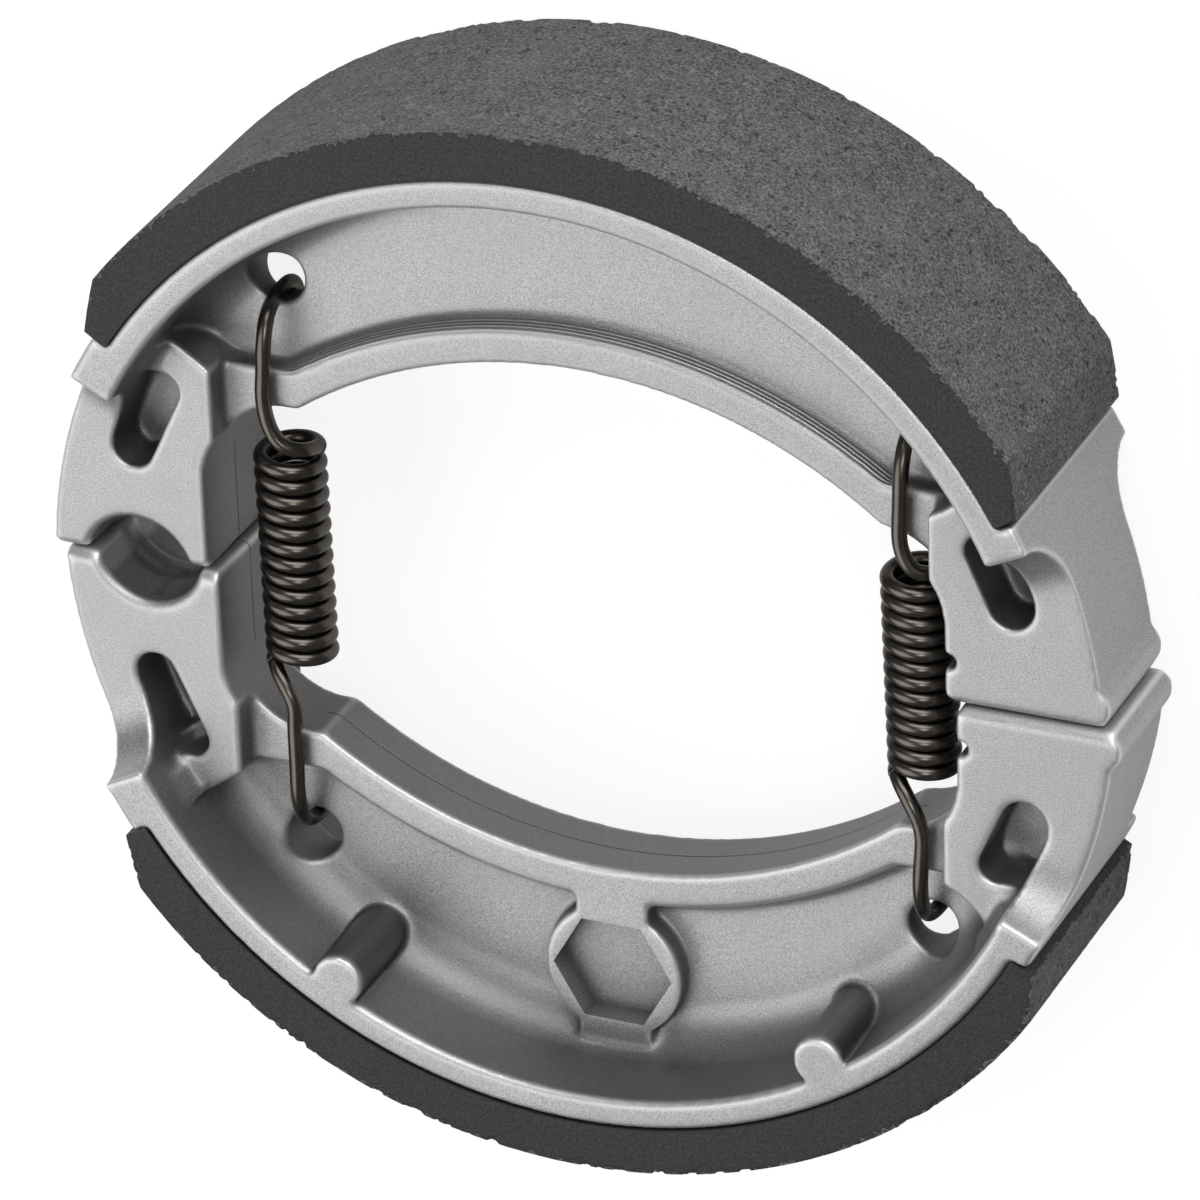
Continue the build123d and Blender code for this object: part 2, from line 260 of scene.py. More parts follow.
def freedom(place):
    """1 where the skin may move, falling to almost nothing inside the hexagon."""
    away = distance(place, boss_centre) - hexagon_radius
    return np.where(place[:, 2] < 0, np.clip(away / hold_width, hold_least, 1), 1)[:, None]


print("fillets from", bore_fillet, "mm at the bore to", block_fillet, "mm at the end blocks")

# %% [markdown]
# The softening itself. A few rounds of plain smoothing take the steps out of the rebuilt skin. Then
# only the inner corners move. A small patch of the skin round each of them is picked out first, so
# the many rounds cost little. The bulge of a round fillet is the square of the quads' size over
# four times the radius, so a corner that has reached it stops by itself.

# %% Soften the casting
smooth_rounds = 5
fill_rounds = 260
fill_share = 0.95
hollow_least = 0.02
patch_rings = 11


def smoothed(points, edges, degree, free):
    """Half of the pull, a few times over."""
    for _ in range(smooth_rounds):
        points = points + 0.5 * free * pull(points, edges, degree)
    return points


def widened(near, edges, rings):
    """A patch of points grown by some rings of neighbours."""
    for _ in range(rings):
        touched = edges[near[edges[:, 0]] | near[edges[:, 1]]]
        near[touched.ravel()] = True
    return near


def filled(points, edges, quads, degree, free, bulge):
    """The points with their hollow patches moved outwards until the bulge is the one wanted."""
    hollow = (pull(points, edges, degree) * outward(points, quads)).sum(1) > bulge + hollow_least
    patch = np.flatnonzero(widened(hollow, edges, patch_rings))
    number = np.full(len(points), -1)
    number[patch] = np.arange(len(patch))
    inner = edges[(number[edges] >= 0).all(1)]
    whole = np.bincount(inner.ravel(), minlength=len(points)) == degree
    moving = (whole[patch] * free[patch, 0])[:, None]
    inner, quads = number[inner], number[quads[(number[quads] >= 0).all(1)]]
    count = np.maximum(np.bincount(inner.ravel(), minlength=len(patch)), 1).astype(float)
    part = points[patch]
    for step in range(fill_rounds):
        if step % 8 == 0:
            normal = outward(part, quads)
        fill = np.maximum((pull(part, inner, count) * normal).sum(1) - bulge[patch], 0)
        part = part + fill_share * moving * fill[:, None] * normal
    points[patch] = part
    return points


def softened(points, edges, quads, degree):
    """The points after smoothing, filling the inner corners, and smoothing again."""
    size = np.linalg.norm(points[edges[:, 0]] - points[edges[:, 1]], axis=1).mean()
    free = freedom(own_place(points))
    bulge = size ** 2 / 4 / fillet_wanted(own_place(points))
    points = smoothed(points, edges, degree, free)
    points = filled(points, edges, quads, degree, free, bulge)
    return smoothed(points, edges, degree, free)


soft_points = softened(even_points, edges, quads, degree)
moved = np.linalg.norm(soft_points - even_points, axis=1)
print(f"the skin moved by up to {moved.max():.2f} mm, on average {moved.mean():.3f} mm")

# %% [markdown]
# Edges are struck by the blasting beads from two sides and come out a little brighter, and on top
# of that they get a painted highlight, a lighter colour where light would glint on their rounding.
# The same two measures find them: where the pull points into the metal, the skin turns over an
# edge. That is stored now, while all quads are of one size, and the flat stretches are thinned
# afterwards to the points that shape them.

# %% Mark the edges for a painted highlight and thin the skin
edge_from, edge_full = 0.004, 0.020
kept_share = 0.4

sharpness = -(pull(soft_points, edges, degree) * outward(soft_points, quads)).sum(1)
# painted highlight: this edge mark later makes the convex edges lighter in the casting's colour
store(even_skin, "edge", ramp(sharpness, edge_from, edge_full))
even_skin.vertices.foreach_set("co", (soft_points * MM).ravel())
even_skin.update()
thin_skin = finished(even_skin, "DECIMATE", ratio=kept_share)
print("thinned skin:", len(thin_skin.polygons), "faces")

# %% [markdown]
# The hexagon is the one place where the real casting is crisp, because a sharp steel pin formed it.
# An even skin steps over such edges, so the recess is cut once more, a hair wider and deeper than
# it came out, with a plain six-sided prism. Where it cuts, the edges are exact. They get no painted
# edge highlight, so the edge mark is taken off in there.

# %% Cut the hexagon afresh
recess_mouth, recess_floor = -4.0, -1.7
recess_margin = 0.2
recess_radius = hexagon_radius + recess_margin


def hexagon_cutter():
    """Six corners on a circle round the boss, above the recess's mouth and below its floor."""
    corner = np.radians(np.arange(0, 360, 60))
    ring = np.stack([np.cos(corner), np.sin(corner)], -1) * recess_radius + boss_centre
    levels = (recess_mouth - 1.0, recess_floor + recess_margin)
    return np.stack([np.column_stack([ring, np.full(6, level)]) for level in levels])


def clear_painted_edge_highlights(mesh):
    """Edge marks, the painted highlight, set to 0 on the points of the recess."""
    marks = np.empty(len(mesh.vertices), dtype=np.float32)
    mesh.attributes["edge"].data.foreach_get("value", marks)
    place = own_place(read_points(mesh))
    in_recess = distance(place, boss_centre) < recess_radius + 0.01
    in_recess &= place[:, 2] > recess_mouth - 0.1
    in_recess &= place[:, 2] < recess_floor + 2 * recess_margin
    marks[in_recess] = 0
    mesh.attributes["edge"].data.foreach_set("value", marks)
    print("points in the recess:", int(in_recess.sum()))


cutter = swept_object("hexagon_cutter", place_pair(hexagon_cutter(), False))
shoe_skin = finished(thin_skin, "BOOLEAN", operation="DIFFERENCE", object=cutter)
bpy.data.objects.remove(cutter)
one_material = np.zeros(len(shoe_skin.polygons), dtype=np.int32)
shoe_skin.polygons.foreach_set("material_index", one_material)
clear_painted_edge_highlights(shoe_skin)

# %% [markdown]
# Each point now learns a few things for the finish: whether it lies on the flange's outer side,
# where the mould's cutter left fine level lines; whether it is on a steep wall, in the bore or in
# the channel beside the rim, which all get painted shade, darkest on the ejector pegs' sides; and
# whether it faces the ring's inside, where the mould's halves met in a thin seam.

# %% Mark the finish's places
flange_centre = (0.0, -22.1)
flange_outer_radius = 51.1
flange_side_width = 0.55
tool_lines_end = 31.5
seam_height, seam_arc = 7.2, 48.4
channel_start_angle = 33
peg_arm = 46.3
peg_radius = 2.5
peg_angles = np.radians([57.1, 119.9])


def flange_marks(place, normal):
    """Cutter lines on the flange's outer side, the seam on its inner side, and the outer side."""
    x, height = place[:, 0], np.abs(place[:, 2])
    arm = place[:, :2] - flange_centre
    arc = np.linalg.norm(arm, axis=1)
    facing = (normal[:, :2] * arm).sum(1) / arc
    near = np.exp(-((arc - flange_outer_radius) / flange_side_width) ** 2)
    flange_side = near * np.clip(facing, 0, 1)
    tooled = flange_side * ramp(height, 2.1, 2.5) * (np.abs(x) < tool_lines_end)
    inside = np.clip(-facing * 1.6 - 0.3, 0, 1) * (height < seam_height) * (arc < seam_arc)
    return tooled, inside, flange_side


# the channel beside the rim gets painted shade
def channel_shade_mask(place, from_drum):
    """Rises towards the rim, falls off at the rim's face, and stops where the end blocks begin."""
    height = np.abs(place[:, 2])
    angle = np.degrees(np.arctan2(place[:, 1] + closing_drop, np.abs(place[:, 0])))
    across = ramp(from_drum, 43.6, 46.2) * (from_drum < 47.62)
    return across * np.clip((half_width - 0.2 - height) / 1.2, 0, 1) * (angle > channel_start_angle)


def peg_shade_mask(place):
    """1 on the two ejector pegs: inside their circles, on the one side of the web they stand on."""
    centres = [(peg_arm * np.cos(a), peg_arm * np.sin(a) - closing_drop) for a in peg_angles]
    from_peg = np.min([distance(place, centre) for centre in centres], axis=0)
    return (from_peg < peg_radius + 0.3) & (place[:, 2] < -1.7)


def mark_places(mesh):
    """Walls, steep where the normal lies level and not on the rim's own outer side, get painted shade."""
    place = own_place(read_points(mesh))
    normal = np.empty(len(mesh.vertices) * 3)
    mesh.vertices.foreach_get("normal", normal)
    normal = normal.reshape(-1, 3)
    tooled, inside, flange_side = flange_marks(place, normal)
    from_drum = distance(place, (0, -closing_drop))
    steep = np.clip(1.15 - 1.4 * np.abs(normal[:, 2]), 0, 1)
    steep *= np.clip((47.9 - from_drum) / 0.4, 0, 1) * (1 - 0.9 * flange_side)
    bore = distance(place, bore_centre) < bore_radius - 0.02
    # painted shade: steep walls, the bore, the pegs' sides and the channel are stored to be darkened
    painted_wall_shade = np.maximum(steep, 0.85 * channel_shade_mask(place, from_drum))
    store(mesh, "tooled", tooled)
    store(mesh, "inside", inside)
    store(mesh, "painted_wall_shade", painted_wall_shade + (0.35 * bore + 0.65 * peg_shade_mask(place)) * steep)


mark_places(shoe_skin)
print("marks on the skin:", [mark.name for mark in shoe_skin.attributes if mark.domain == "POINT"])

# %% [markdown]
# Both shoes come from one mould, so one skin serves twice: the lower shoe is the upper one turned
# over. Each rides on its own body and takes the place of the plain casting of the solid model.

# %% Two castings from one skin
casting_crease = 50
shoe_skin.shade_smooth()
shoe_skin.set_sharp_from_angle(angle=math.radians(casting_crease))


def make_casting(name, node, body, mirror):
    """The skin in its place: the lower shoe is the upper one turned over about the X axis."""
    mesh = shoe_skin.copy()
    points = place_pair(own_place(read_points(mesh)), mirror)
    mesh.vertices.foreach_set("co", (points * MM).ravel())
    mesh.update()
    thing = link(name, mesh)
    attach(thing, body)
    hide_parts(node)
    return thing


upper_casting = make_casting("upper_casting", "upper_shoe", "upper_half", False)
lower_casting = make_casting("lower_casting", "lower_shoe", "lower_half", True)

# %% [markdown]
# Moulded and ground surfaces are never quite even. A lattice of seeded random values, read smoothly
# between its points, gives the same gentle unevenness on every run, for a whole array of places at
# once.

# %% Smooth seeded unevenness
lattice_side = 64


def lattice_noise(points, cell, seed):
    """Random lattice values between -1 and 1, blended by smoothed trilinear weights."""
    values = np.random.default_rng(seed).uniform(-1, 1, lattice_side ** 3)
    place = np.asarray(points) / cell
    base = np.floor(place).astype(int)
    f = place - base
    f = f * f * (3 - 2 * f)
    total = np.zeros(place.shape[:-1])
    for corner in range(8):
        step = np.array([corner & 1, corner >> 1 & 1, corner >> 2 & 1])
        weight = np.prod(np.where(step == 1, f, 1 - f), axis=-1)
        i, j, k = np.moveaxis((base + step) % lattice_side, -1, 0)
        total += weight * values[(i * lattice_side + j) * lattice_side + k]
    return total


print("two close places:", lattice_noise([[0.2, 0.4, 0.6], [0.3, 0.4, 0.6]], 1.0, 1).round(2))

# %% [markdown]
# A lining is a moulded block of friction material, bonded to the rim and ground to the drum's
# curve. Its ground face is granular and its long edges crumble a little, while its sides stay
# smooth from the mould. One closed loop, the section, is carried round the arc. The outer radius
# falls on a straight slope at each end, so that the lining meets the drum without a knock, and the
# noise nicks the edges.

# %% Section and arc of a lining
drum_radius = 55.0
seat_radius = 50.3
lining_anchor_angle = 33.0
lining_end_thickness = 2.5
lining_end_slope = 5.4
face_points, under_points = 110, 30
edge_wear, chip_depth, chip_reach, grain_depth = 0.06, 0.42, 0.3, 0.02


def lining_section():
    """Height share (0 at the rim, 1 at the ground face) and width place round the section."""
    side = np.concatenate([[0.0, 0.03, 0.06], np.linspace(0.1, 1, 18)[:-1]])
    share = np.concatenate([np.ones(face_points), side[::-1], np.zeros(under_points), side])
    width = np.concatenate([
        np.linspace(-half_width, half_width, face_points),
        np.full(len(side), half_width),
        np.linspace(half_width, -half_width, under_points + 2)[1:-1],
        np.full(len(side), -half_width),
    ])
    return share, width


def outer_radius(angles, cam_angle):
    """The drum's radius, falling on a straight slope to the lining's thin ends."""
    slope_start = np.clip((angles - cam_angle) / lining_end_slope, 0, 1)
    slope_end = np.clip((180 - lining_anchor_angle - angles) / lining_end_slope, 0, 1)
    thin = seat_radius + lining_end_thickness
    return thin + (drum_radius - thin) * np.minimum(slope_start, slope_end)


def lining_loops(angles, cam_angle, seed):
    """Points of all loops, with the nicks and the grain taken off the radius and the width."""
    share, width = lining_section()
    outer = outer_radius(angles, cam_angle)
    radius = seat_radius + (outer[:, None] - seat_radius) * share[None, :]
    turn = np.radians(angles)[:, None]
    level = np.broadcast_to(width, radius.shape)
    points = np.stack([radius * np.cos(turn), radius * np.sin(turn) - closing_drop, level], -1)
    to_edge = (half_width - np.abs(points[..., 2])) + (outer[:, None] - radius)
    chip = lattice_noise(points, 1.3, seed) + 0.8 * lattice_noise(points, 0.45, seed + 1) - 0.15
    depth = (edge_wear + chip_depth * np.maximum(chip, 0)) * np.exp(-to_edge / chip_reach)
    grain = grain_depth * lattice_noise(points, 0.5, seed + 2) - grain_depth
    grain = (share > 0.999)[None, :] * grain
    out = np.stack([np.cos(turn), np.sin(turn), np.zeros_like(turn)], -1)
    points = points + out * (grain - depth)[..., None]
    points[..., 2] -= np.sign(points[..., 2]) * depth * 0.8
    return points, np.broadcast_to(share, radius.shape)


print("a lining's section has", len(lining_section()[0]), "points")

# %% [markdown]
# The upper shoe's lining stops a touch earlier at the cam end than the lower one's: bonded blocks
# are never placed to the hair. The height share is stored with the points, because the ground face,
# the smooth side and the dark line of glue at the rim all want their own look.

# %% Linings
arc_points = 440
lining_crease = 48


def make_lining(name, node, body, mirror, cam_angle, seed):
    """The section carried round the arc, from the cam end to the anchor end."""
    angles = np.linspace(cam_angle, 180 - lining_anchor_angle, arc_points)
    loops, share = lining_loops(angles, cam_angle, seed)
    thing = swept_object(name, place_pair(loops, mirror))
    store(thing.data, "height_share", share)
    thing.data.set_sharp_from_angle(angle=math.radians(lining_crease))
    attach(thing, body)
    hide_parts(node)
    return thing


upper_lining = make_lining(
    "upper_lining_ground", "upper_lining", "upper_half", False, cam_angle=29.1, seed=11)
lower_lining = make_lining(
    "lower_lining_ground", "lower_lining", "lower_half", True, cam_angle=28.7, seed=37)

# %% [markdown]
# A return spring is one length of wire: hook, leg, coil, leg, hook. The wire is bent over a few
# pins by hand and wound on a rod, and its path is worked out the same way: a few places for hook
# and leg, joined by a smooth curve whose tight bends are then relaxed, as steel does by itself.

# %% A bent wire
def smooth_path(points, count):
    """A centripetal curve through the points, read at evenly spaced lengths."""
    points = np.asarray(points, float)
    ends = np.vstack([2 * points[0] - points[1], points, 2 * points[-1] - points[-2]])
    steps = []
    t = np.linspace(0, 1, 60, endpoint=False)[:, None]
    for i in range(len(points) - 1):
        p0, p1, p2, p3 = ends[i:i + 4]
        d1, d2, d3 = (np.linalg.norm(b - a) ** 0.5 for a, b in ((p0, p1), (p1, p2), (p2, p3)))
        m1 = (p1 - p0) / d1 - (p2 - p0) / (d1 + d2) + (p2 - p1) / d2
        m2 = (p2 - p1) / d2 - (p3 - p1) / (d2 + d3) + (p3 - p2) / d3
        h = t ** 2 * (3 - 2 * t)
        bent = d2 * (m1 * (t - 2 * t ** 2 + t ** 3) + m2 * (t ** 3 - t ** 2))
        steps.append(p1 * (1 - h) + p2 * h + bent)
    curve = np.vstack(steps + [points[-1:]])
    strides = np.linalg.norm(np.diff(curve, axis=0), axis=1)
    length = np.concatenate([[0], np.cumsum(strides)])
    even = np.linspace(0, length[-1], count)
    return np.stack([np.interp(even, length, curve[:, k]) for k in range(3)], -1)


def steps_to_end(path):
    """For each place of a path, how many places lie between it and the nearer end."""
    return np.minimum(np.arange(len(path)), np.arange(len(path))[::-1])


def eased(path, keep=40, rounds=300):
    """The path with its tight bends relaxed; the places near its two ends stay."""
    free = 0.5 * np.clip((steps_to_end(path)[1:-1, None] - 4) / keep, 0, 1)
    for _ in range(rounds):
        path[1:-1] += free * (0.5 * (path[:-2] + path[2:]) - path[1:-1])
    return path


# %% [markdown]
# The two springs differ a little in where they stand and how far their upper legs bow, so one
# function makes both. Its places are (across, along, height): along is the pull's direction, from
# the lower shoe to the upper one, and height is counted from the ring's middle plane. A helix of
# fourteen turns joins the legs.

# %% The wire's path
wire = 1.45
coil_turns = 14
turn_points = 56
coil_height = 2.1
coil_radius = 2.7
coil_start, coil_stop = 110, coil_turns * 360 - 60
leg_points = 420
hook_path = [(5.4, 5.0), (2.5, 3.7), (1.62, 0.9), (1.95, -2.0), (4.4, -2.75)]


def hook(side, x, hole_y):
    """The hook's places, from the leg down through the spring hole."""
    return np.array([(x, side * (hole_y - short), height) for short, height in hook_path])


def upper_leg(hook_x, bow_x, coil_x, hole_y, top, bend):
    """From the hook down to the coil: straight first, then bent in over the height of the bend."""
    foot = top + 1.2
    return [
        (0.5 * (hook_x + bow_x), hole_y - 8.6, 5.0),
        (bow_x, foot + bend, 5.0),
        (bow_x + 0.24, foot + 0.55 * bend, 5.0),
        (bow_x + 0.85, foot + 0.27 * bend, 5.0),
        (coil_x + 0.45, foot + 0.11 * bend, 4.95),
        (coil_x + 1.4, foot + 0.03 * bend, 4.65),
        (coil_x + 2.3, top + 0.95, 3.5),
    ]


def lower_leg(hook_x, bow_x, coil_x, hole_y, low):
    """From the coil out to the hook, with a short bend under the last turn."""
    return [
        (coil_x - 1.35, low - 1.25, 4.5),
        (coil_x - 0.35, low - 2.45, 5.0),
        (coil_x + 0.35, low - 3.8, 5.05),
        (bow_x, low - 5.6, 5.0),
        (0.5 * (hook_x + bow_x), 9.0 - hole_y, 5.0),
    ]


def helix(pitch, coil_x, top):
    """A circle that sinks by one pitch each turn, while its axis leans from one x to the other."""
    phi = np.radians(np.linspace(coil_start, coil_stop, coil_turns * turn_points))
    share = (phi - phi[0]) / (phi[-1] - phi[0])
    across = coil_x[0] + (coil_x[1] - coil_x[0]) * share + coil_radius * np.sin(phi)
    along = top - pitch * (phi - np.pi) / (2 * np.pi)
    return np.stack([across, along, coil_height + coil_radius * np.cos(phi)], -1)


def wire_path(pitch, middle, coil_x, bow_x, hook_x, hole_y, bend):
    """Upper hook and leg, the helix, lower leg and hook; pairs are for the upper and lower end."""
    top = middle + pitch * coil_turns / 2 - wire / 2
    low = middle - pitch * coil_turns / 2 + wire / 2
    coil = helix(pitch, coil_x, top)
    above = upper_leg(hook_x[0], bow_x[0], coil_x[0], hole_y, top, bend)
    below = lower_leg(hook_x[1], bow_x[1], coil_x[1], hole_y, low)
    first = np.vstack([hook(1, hook_x[0], hole_y)[::-1], above, coil[[0, 4, 8]]])
    last = np.vstack([coil[[-9, -5, -1]], below, hook(-1, hook_x[1], hole_y)])
    first, last = (eased(smooth_path(part, leg_points)) for part in (first, last))
    start = np.linalg.norm(first - coil[0], axis=1).argmin()
    end = np.linalg.norm(last - coil[-1], axis=1).argmin()
    return np.vstack([first[:start], coil, last[end + 1:]]), (coil[0, 1], coil[-1, 1])


print("coil:", coil_turns, "turns,", round(2 * coil_radius + wire, 2), "mm outside")

# %% [markdown]
# A round section is then carried along the path, square to it at every place. To keep the tube from
# twisting, its first direction follows a guide: the coil's axis on the coil, upright on the legs,
# and across on the hooks. The last few rings shrink, which rounds the cut ends of the wire.

# %% Wire round the path
ring_points = 20


def wire_loops(path, coil_span):
    """A circle of the wire's radius at every place, lifted to the ring's middle plane."""
    tangent = np.gradient(path, axis=0)
    tangent /= np.linalg.norm(tangent, axis=1, keepdims=True)
    beyond = np.maximum(path[:, 1] - coil_span[0], coil_span[1] - path[:, 1])
    to_z = np.clip(beyond / 0.6 + 0.5, 0, 1)[:, None]
    to_x = np.clip((beyond - 4.5) / 2.0, 0, 1)[:, None]
    guide = (1 - to_z) * np.array([0, 1.0, 0]) + to_z * np.array([0, 0, 1.0])
    guide = (1 - to_x) * guide + to_x * np.array([1.0, 0, 0])
    normal = guide - (guide * tangent).sum(1, keepdims=True) * tangent
    normal /= np.linalg.norm(normal, axis=1, keepdims=True)
    side = np.cross(tangent, normal)
    turn = np.linspace(0, 2 * np.pi, ring_points, endpoint=False)[None, :, None]
    radius = wire / 2 * np.sqrt(np.clip((steps_to_end(path) + 0.6) / 3.0, 0, 1))
    ring = np.cos(turn) * normal[:, None] + np.sin(turn) * side[:, None]
    return path[:, None] + radius[:, None, None] * ring + np.array([0, 0, half_width])


print("a ring of wire has", ring_points, "points, one every", 360 / ring_points, "degrees")

# %% [markdown]
# When the shoes open, one end of each spring stays with the lower shoe and the other goes with the
# upper one. The wire is blended between the two bodies over the length of the coil, so the turns
# part evenly and both hooks stay in their holes.

# %% Return springs
hole_circle = 43.45


def make_spring(name, node, **sizes):
    """One spring from its own sizes."""
    path, coil_span = wire_path(**sizes)
    thing = swept_object(name, wire_loops(path, coil_span))
    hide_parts(node)
    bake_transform(thing, "lower_half", "upper_half", start=(0, -0.018, 0.0128), end=(0, 0.018, 0.0128))
    return thing


def hole_height(angle):
    """How far a spring hole's centre lies from the closing plane."""
    return hole_circle * math.sin(math.radians(angle)) - closing_drop


anchor_spring = make_spring(
    "anchor_spring_wire", "anchor_spring", pitch=1.62, middle=1.0, coil_x=(-29.9, -29.6),
    bow_x=(-30.95, -29.4), hook_x=(-30.6, -29.4), hole_y=hole_height(46.4), bend=6.0)
cam_spring = make_spring(
    "cam_spring_wire", "cam_spring", pitch=1.51, middle=0.35, coil_x=(31.9, 32.4),
    bow_x=(31.35, 33.2), hook_x=(31.6, 32.9), hole_y=hole_height(42.1), bend=3.7)

# %% [markdown]
# A finish is a small network of nodes. Most of them read the piece's own coordinates in metres, so
# a pattern keeps its size and place whatever the view. The class below shortens the writing: each
# method adds one kind of node and returns its output, ready to feed the next.

# %% Node helpers
class Nodes:
    """A short hand for a material's node tree."""

    def __init__(self, name):
        self.material = bpy.data.materials.new(name)
        self.material.use_nodes = True
        self.tree = self.material.node_tree
        self.shader = self.tree.nodes["Principled BSDF"]
        self.place = self.tree.nodes.new("ShaderNodeTexCoord").outputs["Object"]

    def add(self, kind, inputs=None, **settings):
        """A node with its settings and inputs."""
        node = self.tree.nodes.new("ShaderNode" + kind)
        for key, value in settings.items():
            setattr(node, key, value)
        for key, value in (inputs or {}).items():
            self.feed(node.inputs[key], value)
        return node

    def feed(self, socket, value):
        """Link a node's output, or write a plain value on the socket."""
        if isinstance(value, bpy.types.NodeSocket):
            self.tree.links.new(value, socket)
        else:
            socket.default_value = value

    def to(self, key, value):
        """A value for the shader itself."""
        self.feed(self.shader.inputs[key], value)

    def noise(self, scale, detail=2.0, rough=0.5, shift=0.0):
        """Noise with the given number of grains to the metre; the shift keeps two apart."""
        moved = {"Vector": self.place, "Location": (shift, shift, shift)}
        place = self.add("Mapping", moved).outputs[0]
        inputs = {"Vector": place, "Scale": scale, "Detail": detail, "Roughness": rough}
        return self.add("TexNoise", inputs).outputs["Fac"]

    def span(self, value, low, high, to_low=0.0, to_high=1.0):
        """The value's way from low to high, spread over another span."""
        ends = {"From Min": low, "From Max": high, "To Min": to_low, "To Max": to_high}
        return self.add("MapRange", {"Value": value, **ends}).outputs[0]

    def math(self, operation, a, b=0.0):
        """Two values worked into one."""
        return self.add("Math", {0: a, 1: b}, operation=operation).outputs[0]

    def mix(self, share, a, b):
        """Colour a, with a share of colour b (sockets 6 and 7, output 2 of the Mix node)."""
        return self.add("Mix", {0: share, 6: a, 7: b}, data_type="RGBA").outputs[2]

    def stored(self, name):
        """A value that was stored with the mesh."""
        return self.add("Attribute", attribute_name=name).outputs["Fac"]

    def height(self):
        """Height above the table in millimetres."""
        z = self.add("SeparateXYZ", {0: self.place}).outputs[2]
        return self.math("MULTIPLY", z, 1 / MM)

    def bump(self, relief, strength=1.0, distance=MM):
        """Small relief: a height of 1 stands for the given distance."""
        inputs = {"Height": relief, "Strength": strength, "Distance": distance}
        self.to("Normal", self.add("Bump", inputs).outputs[0])


def grey(value):
    """A neutral colour with full alpha."""
    return (value, value, value, 1.0)


# %% [markdown]
# The shoes are cast aluminium, blasted with fine beads. Blasting leaves countless tiny dents, so
# the metal glitters softly and has no mirror anywhere. Two sizes of noise make the dents and the
# faint clouds. The stored marks add a painted highlight on the edges, painted shade on the steep
# walls, the bore, the pegs and the channel beside the rim, the cutter's level lines on the flange
# and the thin parting line where the two halves of the mould met. Deep hollows are found by
# ambient occlusion and get painted shade.

# %% Cast aluminium
tool_line_rate = 15.0
print("cutter lines", round(2 * math.pi / tool_line_rate, 2), "mm apart")


def cast_aluminium():
    n = Nodes("blasted_cast_aluminium")
    grain = n.noise(9200, 2, 0.6)
    cloud = n.noise(120, 3, 0.5, 3.1)
    tone = n.mix(n.span(grain, 0.34, 0.66), grey(0.26), grey(0.62))
    tone = n.mix(n.span(cloud, 0.35, 0.65, 0, 0.25), tone, grey(0.38))
    # painted shade: the stored wall mark darkens steep walls, bore, pegs and channel
    tone = n.mix(n.math("MULTIPLY", n.stored("painted_wall_shade"), 0.55), tone, grey(0.09))
    # painted shade: hollows found by ambient occlusion are darkened towards grey 0.03
    reach = {"Distance": 5 * MM}
    closed = n.add("AmbientOcclusion", reach, samples=3, only_local=True).outputs["AO"]
    tooled = n.stored("tooled")
    hollow = n.span(closed, 0.16, 0.76, 0.78, 0.0)
    hollow = n.math("MULTIPLY", hollow, n.span(tooled, 0, 1, 1, 0.25))
    tone = n.mix(hollow, tone, grey(0.03))
    tone = n.mix(n.math("MULTIPLY", tooled, 0.5), tone, grey(0.85))
    # painted highlight: the stored edge mark lightens convex edges towards grey 0.95
    tone = n.mix(n.math("MULTIPLY", n.stored("edge"), 0.75), tone, grey(0.95))
    level = n.height()
    from_middle = n.math("ABSOLUTE", n.math("SUBTRACT", level, half_width))
    seam = n.math("MULTIPLY", n.span(from_middle, 0.05, 0.13, 1, 0), n.stored("inside"))
    tone = n.mix(n.math("MULTIPLY", seam, 0.7), tone, grey(0.04))
    lines = n.math("SINE", n.math("MULTIPLY", level, tool_line_rate))
    lines = n.math("MULTIPLY", lines, tooled)
    tone = n.mix(n.span(lines, 0.1, 0.9, 0, 0.5), tone, grey(0.14))
    n.to("Base Color", tone)
    n.to("Metallic", 0.85)
    n.to("Roughness", n.span(grain, 0.3, 0.7, 0.36, 0.5))
    relief = n.math("ADD", n.math("MULTIPLY", grain, 0.03), n.math("MULTIPLY", lines, 0.05))
    n.bump(n.math("SUBTRACT", relief, n.math("MULTIPLY", seam, 0.05)))
    return n.material


aluminium = cast_aluminium()
print("casting finish:", len(aluminium.node_tree.nodes), "nodes")

# %% [markdown]
# Friction material is a pressed mix of fibres, resin and metal dust. The ground face shows the mix:
# a dull grain of several sizes, a few pale specks and dark pits. The moulded side has a thin resin
# skin, so it is darker and smoother. The stored height share tells the two apart and finds the glue
# line, and the pits' noise makes the border between them ragged.

